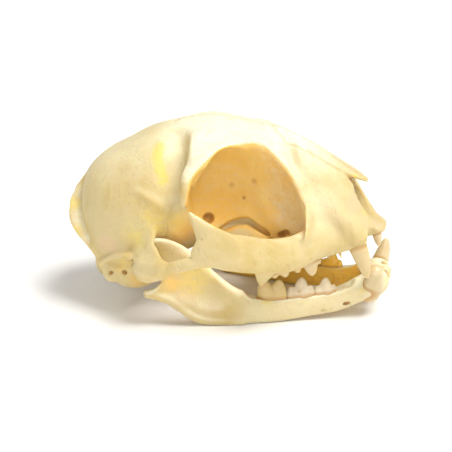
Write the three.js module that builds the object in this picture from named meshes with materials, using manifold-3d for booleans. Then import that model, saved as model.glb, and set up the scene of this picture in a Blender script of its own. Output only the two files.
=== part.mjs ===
// Skull of a domestic cat with its lower jaw, standing on the jaw with the mouth a little open.
// Millimetres, +Z up. The snout points along +X, the skull's left side is at +Y, the floor is z = 0.
// Three bones, each one closed solid: the cranium and the two halves of the lower jaw, teeth joined on.
import * as THREE from "three";
import { mergeVertices } from "three/addons/utils/BufferGeometryUtils.js";
import Module from "manifold-3d";

const wasm = await Module();
wasm.setup();

// ---------------------------------------------------------------- driving dimensions
const PITCH = 15; // degrees that the cranium's palate is tipped nose-up
const CRANIUM_LIFT = 22; // height of the cranium frame's origin over the floor
const MIDDLE_X = 1.56; // the origin lies under the middle of the length, this far along the bones' own X
const SIDES = [-1, 1]; // right, left
const SYMPHYSIS_GAP = 0.3; // fibrous joint between the two jaw halves
const BONE = { color: 0xeee0b4, roughness: 0.55, metalness: 0 };

const RIGHT = -1;

// ---------------------------------------------------------------- small tools
const v3 = (x, y, z) => new THREE.Vector3(x, y, z);

// A closed mesh as a solid, turned the right way out.
function solid(geometry) {
  const bare = new THREE.BufferGeometry();
  bare.setAttribute("position", geometry.getAttribute("position"));
  if (geometry.index) bare.setIndex(geometry.index);
  const merged = mergeVertices(bare, 1e-4);
  const vertProperties = new Float32Array(merged.attributes.position.array);
  const triVerts = new Uint32Array(merged.index.array);
  const build = () =>
    new wasm.Manifold(new wasm.Mesh({ numProp: 3, vertProperties, triVerts }));
  const first = build();
  if (first.volume() > 0) return first;
  for (let i = 0; i < triVerts.length; i += 3)
    [triVerts[i + 1], triVerts[i + 2]] = [triVerts[i + 2], triVerts[i + 1]];
  return build();
}

const joined = (solids) => solids.reduce((a, b) => a.add(b));

// The rows of a table read at any place u from 0 to rows - 1, on a smooth curve through them.
function readRows(rows, u) {
  const last = rows.length - 1;
  const i = Math.min(Math.floor(u), last - 1);
  const f = u - i;
  const row = (k) => rows[Math.max(0, Math.min(last, k))];
  return rows[0].map((_, c) => {
    const [p0, p1, p2, p3] = [i - 1, i, i + 1, i + 2].map((k) => row(k)[c]);
    const [m1, m2] = [(p2 - p0) / 2, (p3 - p1) / 2];
    const [f2, f3] = [f * f, f * f * f];
    return (2 * f3 - 3 * f2 + 1) * p1 + (f3 - 2 * f2 + f) * m1
      + (3 * f2 - 2 * f3) * p2 + (f3 - f2) * m2;
  });
}

// A closed skin over rings of equal count, with a point at each end.
function skin(rings, startPoint, endPoint) {
  const count = rings[0].length;
  const points = [startPoint, ...rings.flat(), endPoint];
  const at = (ring, k) => 1 + ring * count + (k % count);
  const faces = [];
  for (let k = 0; k < count; k++) {
    faces.push(0, at(0, k + 1), at(0, k));
    faces.push(points.length - 1, at(rings.length - 1, k), at(rings.length - 1, k + 1));
    for (let r = 0; r + 1 < rings.length; r++) {
      faces.push(at(r, k), at(r, k + 1), at(r + 1, k + 1));
      faces.push(at(r, k), at(r + 1, k + 1), at(r + 1, k));
    }
  }
  const geometry = new THREE.BufferGeometry().setFromPoints(points);
  geometry.setIndex(faces);
  return solid(geometry);
}

// A body of upright sections along X. Rows hold x, half width, top, bottom, height of the widest
// place and fullness (2 is an ellipse, more is boxier).
function sectionBody(rows, steps, around) {
  const rings = [];
  for (let s = 0; s <= steps; s++) {
    const [x, half, top, bottom, wide, full] = readRows(rows, ((rows.length - 1) * s) / steps);
    const ring = [];
    for (let k = 0; k < around; k++) {
      const a = (2 * Math.PI * (k + 0.5)) / around;
      const [c, d] = [Math.cos(a), Math.sin(a)];
      const reach = d > 0 ? top - wide : wide - bottom;
      ring.push(v3(
        x,
        half * Math.sign(c) * Math.abs(c) ** (2 / full),
        wide + reach * Math.sign(d) * Math.abs(d) ** (2 / full),
      ));
    }
    rings.push(ring);
  }
  const mid = (row) => v3(row[0], 0, (row[2] + row[3]) / 2);
  return skin(rings, mid(rows[0]), mid(rows[rows.length - 1]));
}

// A bar along a smooth path. Rows hold x, y, z, half thickness across and half height, measured
// along `up` as far as the path lets it.
function bar(rows, { steps = rows.length * 2, around = 8, up = v3(0, 0, 1), side = RIGHT } = {}) {
  const place = (u) => {
    const [x, y, z, thick, high] = readRows(rows, u);
    return { point: v3(x, y * -side, z), thick, high };
  };
  const top = v3(up.x, up.y * -side, up.z);
  const rings = [];
  const span = rows.length - 1;
  for (let s = 0; s <= steps; s++) {
    const u = (span * s) / steps;
    const { point, thick, high } = place(u);
    const ahead = place(Math.min(u + 0.05, span)).point;
    const tangent = ahead.sub(place(Math.max(u - 0.05, 0)).point).normalize();
    const across = tangent.clone().cross(top).normalize();
    const upright = across.clone().cross(tangent).normalize();
    const ring = [];
    for (let k = 0; k < around; k++) {
      const a = (2 * Math.PI * k) / around;
      ring.push(point.clone()
        .addScaledVector(across, Math.cos(a) * thick)
        .addScaledVector(upright, Math.sin(a) * high));
    }
    rings.push(ring);
  }
  return skin(rings, place(0).point, place(span).point);
}

// A round or oval lump, turned by angles in degrees about X, Y and Z.
function lump([x, y, z], [rx, ry, rz], turn = [0, 0, 0], detail = [12, 8]) {
  const geometry = new THREE.SphereGeometry(1, ...detail);
  const euler = new THREE.Euler(...turn.map((a) => THREE.MathUtils.degToRad(a)));
  const matrix = new THREE.Matrix4().compose(
    v3(x, y, z), new THREE.Quaternion().setFromEuler(euler), v3(rx, ry, rz));
  return solid(geometry.applyMatrix4(matrix));
}

// A pointed cusp or fang, from its root to its tip, bowed towards `bow`.
function fang(root, tip, [half, deep], bow, { shares = [0, 0.6], around = 6 } = {}) {
  const curve = new THREE.QuadraticBezierCurve3(
    root, root.clone().lerp(tip, 0.5).add(bow), tip);
  const rings = shares.map((t) => {
    const tangent = curve.getTangent(t);
    const across = tangent.clone().cross(v3(1, 0, 0)).normalize();
    const forward = across.clone().cross(tangent).normalize();
    const left = Math.sqrt(1 - t ** 1.7);
    return Array.from({ length: around }, (_, k) => {
      const a = (2 * Math.PI * k) / around;
      return curve.getPoint(t)
        .addScaledVector(forward, Math.cos(a) * half * left)
        .addScaledVector(across, Math.sin(a) * deep * left);
    });
  });
  return skin(rings, root, tip);
}

const CANINE_FINISH = { shares: [0, 0.4, 0.75], around: 7 };

const EACH_SIDE = (make) => joined(SIDES.map(make));

// ---------------------------------------------------------------- cranium, palate level
// Its own frame: X forward, Z up from the level of the jaw joint.
const PALATE_Z = -9.5; // edge of the palate

const braincase = () => sectionBody([
  // x, half width, top, bottom, widest, fullness
  [-38.8, 6, 14, 5, 9, 2],
  [-37.6, 11.5, 19.6, 0.5, 9, 2],
  [-34.5, 16.0, 24.7, -3, 8, 2.1],
  [-28.5, 19.6, 28.9, -4, 8.5, 2.15],
  [-21, 21.2, 31.7, -4, 10, 2.15],
  [-13.5, 20.6, 33.8, -3.2, 12, 2.15],
  [-6, 17.6, 34.1, -2, 15, 2.2],
  [0, 14.6, 33.2, -1, 18, 2.3],
  [6, 11.5, 31.0, -1, 20, 2.4],
], 11, 16);

// Domed forehead over the eye sockets; its rear corners are the pointed processes behind them.
const brow = () => sectionBody([
  [-3.2, 12.5, 33.7, 15, 21, 2],
  [-1.2, 21.5, 33.6, 14.5, 16.8, 2],
  [1.1, 23.2, 33.8, 14.5, 16.5, 2],
  [6.1, 18.2, 33.2, 13.5, 17.5, 2.05],
  [12.4, 14.1, 30.8, 11, 17, 2.1],
  [17.9, 12.6, 28.1, 8, 14, 2.1],
  [23.4, 9.8, 25.3, 2, 8, 2],
], 9, 16);

// Wall between the eye sockets, then the upper jaw and the nose.
const muzzle = () => sectionBody([
  [1, 8.6, 24, -1, 10, 2.4],
  [8, 8.8, 25, -8.6, 5, 2.4],
  [14, 9.0, 26, PALATE_Z, 2, 2.3],
  [20, 10.2, 26, PALATE_Z, 0, 1.9],
  [24, 14.6, 25.2, PALATE_Z, -3, 1.35],
  [28, 14.8, 22.4, PALATE_Z, -3, 1.5],
  [34, 12.4, 15.8, PALATE_Z, -4, 1.85],
  [38.4, 10.8, 9.4, PALATE_Z, -4.5, 2.1],
  [41.0, 8.8, 1.2, PALATE_Z, -5.5, 2.2],
  [43.2, 6.6, -4.6, PALATE_Z, -7, 2.1],
  [45.5, 4.2, -7, PALATE_Z, -8.2, 2],
], 11, 14);

const palate = () => sectionBody([
  [8, 12.5, -5.6, PALATE_Z, -7.5, 3.5],
  [14, 15.6, -5.4, PALATE_Z, -7.5, 3.5],
  [22, 15.2, -5.0, PALATE_Z, -7.5, 3.5],
  [32, 11.8, -4.0, PALATE_Z, -7.5, 3.5],
], 3, 8);

// The nasal bones roof the nose opening and end in a free tip.
const nasalRoof = () => bar([
  [31, 0, 16.2, 4.6, 1.8],
  [37, 0, 10.9, 4.2, 1.4],
  [42.9, 0, 5.9, 2.6, 0.6],
], { around: 6, steps: 3 });

const eyeSocket = (side) => lump([11.5, side * 17.9, 11.0], [16.9, 10.8, 16.5],
  [side * 9, 0, side * -24], [14, 9]);

// Rim of the socket, from the forehead's pointed process over the top, round the front and
// down to the root of the cheek.
const socketRim = (side) => bar([
  [-2.4, -24.2, 17.0, 0.7, 0.6],
  [0.4, -22.8, 22.8, 0.9, 1.3],
  [5.4, -15.9, 26.2, 1.0, 1.4],
  [12.0, -10.5, 26.4, 1.0, 1.5],
  [18.3, -8.6, 24.8, 1.0, 1.5],
  [22.4, -9.2, 19.2, 1.1, 1.5],
  [25.4, -10.5, 11.6, 1.2, 1.6],
  [27.6, -13.2, 5.8, 1.5, 1.7],
  [28.0, -16.6, 2.6, 1.7, 1.8],
  [25.6, -20.0, -0.4, 1.8, 1.9],
], { side, up: v3(0.2, -1, 0.5), steps: 11, around: 5 });

// Cheek arch, from the upper jaw back to its root in front of the ear.
const cheekArch = (side) => bar([
  [27.5, -15.0, -3.6, 2.4, 5.0],
  [22.0, -20.6, -4.2, 2.2, 4.9],
  [15.5, -25.2, -1.9, 1.5, 4.9],
  [9.5, -28.6, 1.4, 1.3, 5.2],
  [4, -30.4, 4.0, 1.3, 4.9],
  [-1, -31.0, 3.4, 1.2, 3.6],
  [-5.5, -31.1, 1.9, 1.2, 2.0],
  [-10.5, -30.5, 1.5, 1.3, 1.9],
  [-14.5, -29.3, 0.9, 1.3, 2.7],
  [-18.2, -27.7, 0.6, 1.3, 3.0],
  [-20.8, -24.8, 1.2, 1.3, 2.6],
  [-21.6, -18.0, 2.0, 3.0, 3.2],
], { side, steps: 13, around: 6 });

// Pointed process that the cheek bone sends up towards the forehead's.
const cheekHorn = (side) => bar([
  [5.0, -30.0, 4.0, 1.2, 5.4],
  [2.6, -30.2, 9.0, 1.1, 3.4],
  [0.8, -29.8, 12.6, 0.9, 1.9],
  [-0.7, -29.1, 15.2, 0.4, 0.5],
], { side, up: v3(1, 0, 0.3), steps: 4, around: 6 });

// Root of the arch, flaring up on to the braincase, and the process behind the jaw joint that
// stops the joint slipping back.
const jointRoof = (side) => bar([
  [-19.0, -16, 4.6, 4.2, 4.2],
  [-19.2, -22, 3.2, 2.9, 2.9],
  [-17.6, -27.6, 1.9, 2.2, 2.0],
], { side, steps: 3 }).add(bar([
  [-20.6, -16.4, -0.8, 1.1, 2.8],
  [-20.6, -22, -0.8, 1.1, 2.9],
  [-20.4, -25, -0.2, 1.0, 2.2],
], { side, steps: 2, around: 6 }));

// Hollow that the jaw's condyle turns in.
const JOINT = { x: -17.1, z: -1.5, radius: 2.85 };
const jointHollow = (side) => bar([
  [JOINT.x, -14.8, JOINT.z, JOINT.radius, JOINT.radius],
  [JOINT.x, -26.5, JOINT.z, JOINT.radius, JOINT.radius],
], { side, steps: 1, around: 10 });

// Flange round the back of the head, where the neck muscles held.
const neckCrest = (side) => bar([
  [-37.0, 1.5, 20.8, 1.0, 2.6],
  [-38.6, -4, 18.8, 1.0, 2.8],
  [-38.6, -8, 16.8, 1.0, 2.8],
  [-38.2, -10.6, 14.4, 1.0, 3.0],
  [-36.4, -13, 11.2, 1.0, 2.9],
  [-33.6, -15.2, 7.0, 1.1, 2.6],
  [-32.2, -16.4, 2.4, 1.2, 2.2],
  [-32.0, -16.8, -2.2, 1.3, 1.7],
], { side, up: v3(-1, -0.35, 0.1), steps: 9, around: 5 });

// Round ear capsule under the skull, with the processes about it.
const earCapsule = (side) => lump([-26.0, side * 11.4, -2.4], [8.9, 6.3, 6.8],
  [0, 0, side * -14], [9, 6]);
const earMouth = (side) => lump([-25.4, side * 18.2, -1.6], [2.4, 4.2, 2.0], [0, 0, 0], [7, 4]);
const mastoid = (side) => lump([-31.6, side * 15.8, -2.6], [3.4, 2.4, 3.6], [0, 0, 0], [7, 5]);
const earRidge = (side) => bar([
  [-21, -20.4, 2.6, 1.6, 1.6],
  [-27, -19.8, 3.4, 1.4, 1.2],
  [-32.6, -17.2, 2.0, 1.2, 1.2],
], { side, steps: 3, around: 6 });

const condyle = (side) => lump([-36.0, side * 6.2, -1.6], [3.0, 3.4, 4.2], [0, 0, side * 20], [8, 5]);

// Thin walls beside the throat passage, each ending in a small hook.
const throatWall = (side) => bar([
  [10, -7.6, -6.4, 0.9, 3.0],
  [2, -6.6, -5.6, 0.8, 3.4],
  [-7, -6.2, -5.2, 0.8, 3.0],
  [-11.5, -6.8, -7.4, 0.6, 0.9],
], { side, steps: 4, around: 5 });

// Ledge of the upper jaw that holds the cheek teeth.
const toothLedge = (side) => bar([
  [9.0, -15.6, -6.8, 2.0, 2.2],
  [16, -16.2, -7.0, 2.3, 2.9],
  [24, -14.2, -6.6, 2.3, 3.2],
  [31, -11.8, -6.6, 2.2, 3.3],
  [38, -9.8, -6.2, 2.4, 3.6],
], { side, steps: 4, around: 6 });

// Swelling over the root of the upper canine.
const canineRoot = (side) => bar([
  [31.5, -8.4, 6.0, 2.0, 1.8],
  [35.4, -9.9, -0.5, 2.7, 2.6],
  [38.4, -9.6, -7, 2.8, 2.9],
], { side, up: v3(1, 0, 0), steps: 3, around: 7 });

const noseHollow = () => bar([
  [47, 0, -0.2, 4.4, 5.0],
  [40, 0, 1.2, 4.3, 5.4],
  [31, 0, 3.0, 3.2, 5.6],
  [25, 0, 3.0, 2.2, 3.6],
], { around: 8, steps: 3 });

// The brain's hollow follows the braincase at a wall's thickness.
const brainHollow = () => sectionBody([
  [-35.6, 6.5, 17, 4, 9, 2],
  [-33.0, 13.2, 22, 0, 9, 2],
  [-26.0, 17.6, 27.2, -1.4, 9, 2.1],
  [-18, 19.0, 30.4, -1.4, 10.5, 2.15],
  [-10, 17.6, 31.4, -0.6, 13, 2.15],
  [-6.5, 14.2, 31.2, 1.5, 14.5, 2.15],
  [-4.3, 11.2, 30.2, 3.5, 15.5, 2.15],
], 7, 10);
const spinalHole = () => bar([
  [-42, 0, 4.4, 5.6, 4.8],
  [-30, 0, 6.4, 5.6, 5.2],
], { around: 10, steps: 2 });

// Passage from the nose to the throat, and the hollow of the palate.
const throatHollow = () => bar([
  [-9, 0, -9.6, 5.0, 5.2],
  [2, 0, -9.6, 5.2, 5.4],
  [9, 0, -9.4, 4.2, 4.6],
], { around: 8, steps: 2 });
const palateHollow = () => bar([
  [4, 0, -11.2, 9.5, 2.6],
  [20, 0, -11.2, 10.0, 3.0],
  [34, 0, -11.2, 6.6, 2.8],
  [42, 0, -11.2, 4.0, 2.2],
], { around: 8, steps: 4 });

const underEyeHole = (side) => bar([
  [22, -16.2, -1.6, 1.4, 2.0],
  [33, -16.6, -0.8, 1.4, 2.0],
], { side, steps: 1, around: 6 });

function upperTeeth(side) {
  const y = (value) => side * value;
  const canine = fang(v3(37.8, y(10.6), -6.5), v3(37.6, y(10.8), -19.2), [2.9, 2.2],
    v3(1.6, y(0.6), 0), CANINE_FINISH);
  const cusps = [
    // x, y, tip z, half length, half depth
    [30.2, 11.4, -11.2, 1.0, 0.8], // small second premolar
    [27.0, 12.8, -11.4, 1.2, 1.0], // third premolar
    [24.6, 13.4, -13.6, 2.2, 1.2],
    [20.4, 14.4, -11.9, 1.9, 1.2], // fourth premolar, the upper shearing tooth
    [16.2, 15.4, -12.2, 2.6, 1.2],
    [11.8, 16.4, -13.6, 2.3, 1.2],
    [11.0, 13.4, -10.4, 1.0, 1.4], // small molar
  ].map(([x, across, tip, half, deep]) =>
    fang(v3(x, y(across), -8), v3(x - 0.2, y(across), tip), [half, deep], v3(0, y(0.2), 0)));
  const incisor = fang(v3(42.9, y(3.6), -8), v3(42.8, y(3.8), -12.4), [1.1, 0.9], v3(0.4, 0, 0));
  // The left canine and the other front teeth fell out of their sockets.
  const front = side < 0 ? [canine, incisor] : [];
  return joined([...front, ...cusps]);
}

function cranium() {
  const walls = braincase()
    .add(brow())
    .add(muzzle())
    .add(EACH_SIDE(canineRoot))
    .subtract(EACH_SIDE(eyeSocket))
    .subtract(throatHollow());
  const grown = [
    palate().subtract(palateHollow()),
    EACH_SIDE(toothLedge),
    EACH_SIDE(socketRim),
    EACH_SIDE(cheekArch),
    EACH_SIDE(cheekHorn),
    EACH_SIDE(jointRoof),
    EACH_SIDE(neckCrest),
    EACH_SIDE(earCapsule),
    EACH_SIDE(mastoid),
    EACH_SIDE(earRidge),
    EACH_SIDE(condyle),
    EACH_SIDE(throatWall),
    nasalRoof(),
  ];
  return grown.reduce((body, piece) => body.add(piece), walls)
    .subtract(EACH_SIDE(jointHollow))
    .subtract(EACH_SIDE(underEyeHole))
    .subtract(EACH_SIDE(earMouth))
    .subtract(brainHollow())
    .subtract(spinalHole())
    .subtract(noseHollow())
    .add(EACH_SIDE(upperTeeth));
}

// ---------------------------------------------------------------- lower jaw, in the part's frame
// The body of one half, from the chin back to the root of the ramus.
const jawBody = (side) => bar([
  [46.2, -2.4, 11.4, 2.0, 2.4],
  [43.6, -4.4, 9.6, 3.0, 4.0],
  [39.0, -6.2, 7.8, 3.0, 3.7],
  [33.0, -8.4, 5.7, 2.5, 3.9],
  [25.0, -11.2, 4.9, 2.4, 4.1],
  [16.0, -14.2, 4.3, 2.5, 4.6],
  [8.0, -16.8, 4.6, 2.3, 4.9],
  [0.0, -18.6, 5.1, 1.8, 5.3],
  [-8.0, -20.2, 7.4, 1.0, 4.2],
], { side, steps: 10, around: 8 });

// Upright plate behind the teeth: coronoid process, neck of the condyle and angular process.
const RAMUS = { front: [8.5, 16.9], yaw: 12.5, thick: 1.9 };
function ramusOutline() {
  const outline = new THREE.Shape();
  outline.moveTo(3, 2.0);
  outline.bezierCurveTo(-3, -0.6, -9, -0.9, -13, 0.1);
  outline.bezierCurveTo(-16.5, 1.6, -19.5, 8.3, -28.2, 8.4);
  outline.lineTo(-28.0, 9.6);
  outline.quadraticCurveTo(-24.4, 11.2, -23.4, 13.4);
  outline.lineTo(-26.4, 14.6);
  outline.lineTo(-26.4, 16.6);
  outline.quadraticCurveTo(-22.6, 17.2, -22.4, 19.4);
  outline.quadraticCurveTo(-23.2, 23.0, -26.2, 26.0);
  outline.quadraticCurveTo(-21.0, 27.0, -15.6, 22.4);
  outline.bezierCurveTo(-10, 17.6, -6.5, 11.0, 1.0, 9.0);
  outline.lineTo(3, 8.0);
  outline.closePath();
  return outline;
}
function ramus(side) {
  const plate = new THREE.ExtrudeGeometry(ramusOutline(), {
    depth: RAMUS.thick,
    bevelEnabled: false,
    curveSegments: 4,
  });
  plate.translate(0, 0, -RAMUS.thick / 2);
  plate.rotateX(Math.PI / 2); // the outline's y stands up
  plate.rotateZ(THREE.MathUtils.degToRad(-side * RAMUS.yaw));
  plate.translate(RAMUS.front[0], side * RAMUS.front[1], 0);
  return solid(plate);
}

const jawCondyle = (side) => bar([
  [-15.9, -16.6, 16.1, 0.8, 0.8],
  [-16.0, -18.2, 16.1, 2.1, 2.1],
  [-16.2, -22.4, 16.2, 2.2, 2.2],
  [-16.0, -24.6, 16.2, 1.8, 1.8],
  [-15.8, -25.6, 16.2, 0.7, 0.7],
], { side, steps: 4, around: 6 });

const jawAngle = (side) => bar([
  [-9, -20.6, 7.0, 1.6, 2.4],
  [-14, -21.4, 8.4, 1.5, 1.5],
  [-19, -21.8, 9.2, 0.7, 0.6],
], { side, steps: 3, around: 6 });

// Fibrous face where the two halves meet at the chin.
const chinFace = (side) => lump([43.2, side * 3.0, 9.2], [3.9, 3.4, 4.3], [0, 30, 0], [10, 7]);

function lowerTeeth(side) {
  const y = (value) => side * value;
  const rise = side === RIGHT ? 15.2 : 18.6; // the right fang is worn short
  const canine = fang(v3(42.2, y(5.6), 8.5), v3(45.6, y(7.6), rise), [2.7, 2.1],
    v3(0.9, y(0.6), 0.6), CANINE_FINISH);
  const cusps = [
    [31.6, 8.7, 9.9, 1.2, 1.0], // third premolar
    [29.8, 9.4, 12.2, 2.1, 1.2],
    [27.9, 10.0, 10.0, 1.2, 1.0],
    [25.8, 10.9, 10.3, 1.3, 1.1], // fourth premolar
    [23.4, 11.6, 12.9, 2.4, 1.3],
    [20.9, 12.4, 10.5, 1.4, 1.1],
    [17.6, 13.4, 13.0, 2.3, 1.4], // first molar, the lower shearing tooth
    [13.6, 14.6, 13.6, 2.4, 1.4],
  ].map(([x, across, tip, half, deep]) =>
    fang(v3(x, y(across), 6.5), v3(x - 0.1, y(across), tip), [half, deep], v3(0, y(0.1), 0)));
  return joined([canine, ...cusps]);
}

// Everything of one half that lies on its own side of the midline.
function jawHalf(side) {
  const whole = joined([
    jawBody(side), ramus(side), jawCondyle(side), jawAngle(side), chinFace(side), lowerTeeth(side),
  ]);
  const keep = new THREE.BoxGeometry(200, 100, 100)
    .translate(0, side * (50 + SYMPHYSIS_GAP / 2), 50);
  return whole.intersect(solid(keep));
}

// ---------------------------------------------------------------- the scene graph
function mesh(name, body) {
  const { numProp, vertProperties, triVerts } = body.getMesh();
  const count = vertProperties.length / numProp;
  const position = new Float32Array(count * 3);
  for (let i = 0; i < count; i++)
    position.set(vertProperties.subarray(i * numProp, i * numProp + 3), i * 3);
  const geometry = new THREE.BufferGeometry();
  geometry.setAttribute("position", new THREE.BufferAttribute(position, 3));
  geometry.setIndex(new THREE.BufferAttribute(new Uint32Array(triVerts), 1));
  geometry.computeVertexNormals();
  const made = new THREE.Mesh(geometry, new THREE.MeshStandardMaterial(BONE));
  made.name = name;
  return made;
}

const skull = new THREE.Group();
const bones = new THREE.Group();
bones.position.x = -MIDDLE_X;
skull.add(bones);
const head = new THREE.Group();
head.position.set(0, 0, CRANIUM_LIFT);
head.rotation.y = -THREE.MathUtils.degToRad(PITCH);
head.add(mesh("cranium", cranium()));
bones.add(head);
bones.add(mesh("mandible_right", jawHalf(RIGHT)));
bones.add(mesh("mandible_left", jawHalf(-RIGHT)));

export default skull;
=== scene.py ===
# %% [markdown]
# # A cat's skull, worked up in Blender
#
# A skull is one continuous, rounded surface with holes in it: domes run into arches, and arches
# into rims, with no edge where one form ends. Box modelling would mean weeks of pushing points
# round those joins. Here each bone is a *field* instead: a 3-D grid of numbers that says how far
# each place is from the bone's surface. Simple forms are melted together in the grid, hollows are
# melted out of it, and a mesh is drawn where the number is zero. It is sculpting with formulas,
# so it comes out the same on every run and every form keeps a size with a name.

# %% The frame
import math
import bpy
import numpy as np
from mathutils import Matrix, Vector


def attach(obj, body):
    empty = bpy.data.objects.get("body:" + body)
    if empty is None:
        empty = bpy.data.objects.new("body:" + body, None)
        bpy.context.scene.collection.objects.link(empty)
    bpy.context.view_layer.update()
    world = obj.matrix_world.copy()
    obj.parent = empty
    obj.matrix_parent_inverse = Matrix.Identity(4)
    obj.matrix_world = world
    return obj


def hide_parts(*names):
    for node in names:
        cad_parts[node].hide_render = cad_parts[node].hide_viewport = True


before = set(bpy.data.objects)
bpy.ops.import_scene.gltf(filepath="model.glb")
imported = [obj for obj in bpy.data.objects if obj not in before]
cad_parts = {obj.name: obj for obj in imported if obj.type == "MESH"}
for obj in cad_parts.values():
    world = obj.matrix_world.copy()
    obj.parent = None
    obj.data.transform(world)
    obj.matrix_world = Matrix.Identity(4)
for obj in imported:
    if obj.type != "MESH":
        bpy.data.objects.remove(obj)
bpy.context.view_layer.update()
MM = 0.001

# %% [markdown]
# ## The camera
#
# A long lens from 40 cm off flattens the perspective, so the skull's proportions read true. The
# camera stands a little in front of square to its right side and looks down from 21 degrees.

# %% The camera
VIEW_AZIMUTH = math.radians(10)
VIEW_HEIGHT = math.radians(21)
VIEW_DISTANCE = 0.400
AIM = Vector((-0.00156, 0, 0.0224))
SENSOR = 36.0
FOCAL_LENGTHS_PER_SENSOR = 3.053  # a narrow view: the frame is 13 cm wide at the skull
LENS = FOCAL_LENGTHS_PER_SENSOR * SENSOR

back = Vector((
    math.sin(VIEW_AZIMUTH) * math.cos(VIEW_HEIGHT),
    -math.cos(VIEW_AZIMUTH) * math.cos(VIEW_HEIGHT),
    math.sin(VIEW_HEIGHT),
))
camera_data = bpy.data.cameras.new("studio_camera")
camera_data.sensor_width = SENSOR
camera_data.lens = LENS
camera_data.clip_start, camera_data.clip_end = 0.01, 20
camera = bpy.data.objects.new("studio_camera", camera_data)
bpy.context.scene.collection.objects.link(camera)
camera.location = AIM + back * VIEW_DISTANCE
camera.rotation_mode = "QUATERNION"
camera.rotation_quaternion = back.to_track_quat("Z", "Y")
bpy.context.scene.camera = camera
print(f"lens {LENS:.0f} mm at {VIEW_DISTANCE / MM:.0f} mm")

# %% [markdown]
# ## Clay: a block of distances
#
# `Clay` holds one block of the field. Outside the bone the numbers are positive, inside negative.
# `add` melts a form on and `cut` melts one away; both round the join over `melt` millimetres.
# Each form is only worked out in the small window that it can reach, which keeps a fine grid fast.
# A grid has no points to tidy, so forms can be added and cut in any order.
# Lengths here are millimetres, with x forward, y outward from the middle of the head and z up.

# %% Clay
FAR = 20.0


def melt_min(a, b, melt):
    """The smaller of two fields, with the crease between them rounded."""
    if melt <= 0:
        return np.minimum(a, b)
    h = np.clip(melt - np.abs(a - b), 0, None) / melt
    return np.minimum(a, b) - h * h * melt / 4


class Clay:
    def __init__(self, low, high, step):
        self.low, self.step = np.array(low, float), step
        count = [int(math.ceil((b - a) / step)) + 1 for a, b in zip(low, high)]
        self.axes = [a + step * np.arange(n) for a, n in zip(low, count)]
        self.field = np.full(count, FAR, np.float32)

    def window(self, low, high, room):
        spans = []
        for axis, a, b in zip(self.axes, low, high):
            spans.append(slice(
                max(0, int(np.searchsorted(axis, a - room))),
                min(len(axis), int(np.searchsorted(axis, b + room)) + 1)))
        grid = np.meshgrid(*[a[s] for a, s in zip(self.axes, spans)], indexing="ij", sparse=True)
        return tuple(spans), grid

    def add(self, form, melt=1.0):
        measure, low, high = form
        where, grid = self.window(low, high, melt + 2 * self.step)
        self.field[where] = melt_min(self.field[where], measure(*grid), melt)

    def cut(self, form, melt=0.8):
        measure, low, high = form
        where, grid = self.window(low, high, melt + 2 * self.step)
        self.field[where] = -melt_min(-self.field[where], measure(*grid), melt)


# %% [markdown]
# ## Forms
#
# Three kinds of form make nearly every bone. A `body` is a row of upright oval sections, as a boat's
# hull is drawn, and suits the braincase and the muzzle. A `bar` is an oval section swept along a
# bent path, which suits arches, rims, crests and teeth. A `lump` is a turned ellipsoid.

# %% Reading a table of sections smoothly
def read_rows(rows, samples=160):
    """Rows read on a smooth curve that passes through every one of them."""
    rows = np.array(rows, float)
    last = len(rows) - 1
    u = np.linspace(0, last, samples)
    i = np.minimum(u.astype(int), last - 1)
    f = (u - i)[:, None]
    p0, p1, p2, p3 = (rows[np.clip(i + k, 0, last)] for k in (-1, 0, 1, 2))
    m1, m2 = (p2 - p0) / 2, (p3 - p1) / 2
    return ((2 * f**3 - 3 * f**2 + 1) * p1 + (f**3 - 2 * f**2 + f) * m1
            + (3 * f**2 - 2 * f**3) * p2 + (f**3 - f**2) * m2)


# %% A body
def body(rows):
    """Upright sections: x, half width, top, bottom, height of the widest place, fullness."""
    table = read_rows(rows)
    xs = table[:, 0]

    def measure(x, y, z):
        half, top, bottom, wide, full = (
            np.interp(x.ravel(), xs, table[:, c]).reshape(x.shape) for c in range(1, 6))
        reach = np.where(z > wide, top - wide, wide - bottom)
        rho = ((np.abs(y) / half) ** full + (np.abs(z - wide) / reach) ** full) ** (1 / full)
        radius = np.sqrt(y * y + (z - wide) ** 2)
        flat = radius * (1 - 1 / np.maximum(rho, 0.05))
        past = np.maximum(xs[0] - x, x - xs[-1])
        return -melt_min(-flat, -past + 0 * flat, 1.5)

    half = table[:, 1].max()
    return measure, (xs[0], -half, table[:, 3].min()), (xs[-1], half, table[:, 2].max())


# %% A bar
def bar(rows, up=(0, 0, 1), samples=None):
    """A swept oval: x, y, z, half thickness across and half height along `up`."""
    samples = samples or 5 * len(rows)
    table = read_rows(rows, samples)
    points = table[:, :3]
    tangents = np.gradient(points, axis=0)
    tangents /= np.linalg.norm(tangents, axis=1, keepdims=True)
    across = np.cross(tangents, np.array(up, float))
    across /= np.linalg.norm(across, axis=1, keepdims=True)

    def measure(x, y, z):
        best = None
        for k in range(samples - 1):
            a, b = points[k], points[k + 1]
            span = b - a
            t = ((x - a[0]) * span[0] + (y - a[1]) * span[1] + (z - a[2]) * span[2])
            t = np.clip(t / span.dot(span), 0, 1)
            dx, dy, dz = (q - a[c] - t * span[c] for c, q in enumerate((x, y, z)))
            side = across[k]
            out = dx * side[0] + dy * side[1] + dz * side[2]
            thick = table[k, 3] + t * (table[k + 1, 3] - table[k, 3])
            high = table[k, 4] + t * (table[k + 1, 4] - table[k, 4])
            length2 = dx * dx + dy * dy + dz * dz
            rise2 = np.maximum(length2 - out * out, 0)
            k0 = np.sqrt((out / thick) ** 2 + rise2 / high**2) + 1e-6
            k1 = np.sqrt((out / thick**2) ** 2 + rise2 / high**4) + 1e-6
            here = k0 * (k0 - 1) / k1
            best = here if best is None else np.minimum(best, here)
        return best

    grow = table[:, 3:5].max(axis=1, keepdims=True)
    return measure, (points - grow).min(axis=0), (points + grow).max(axis=0)


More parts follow.
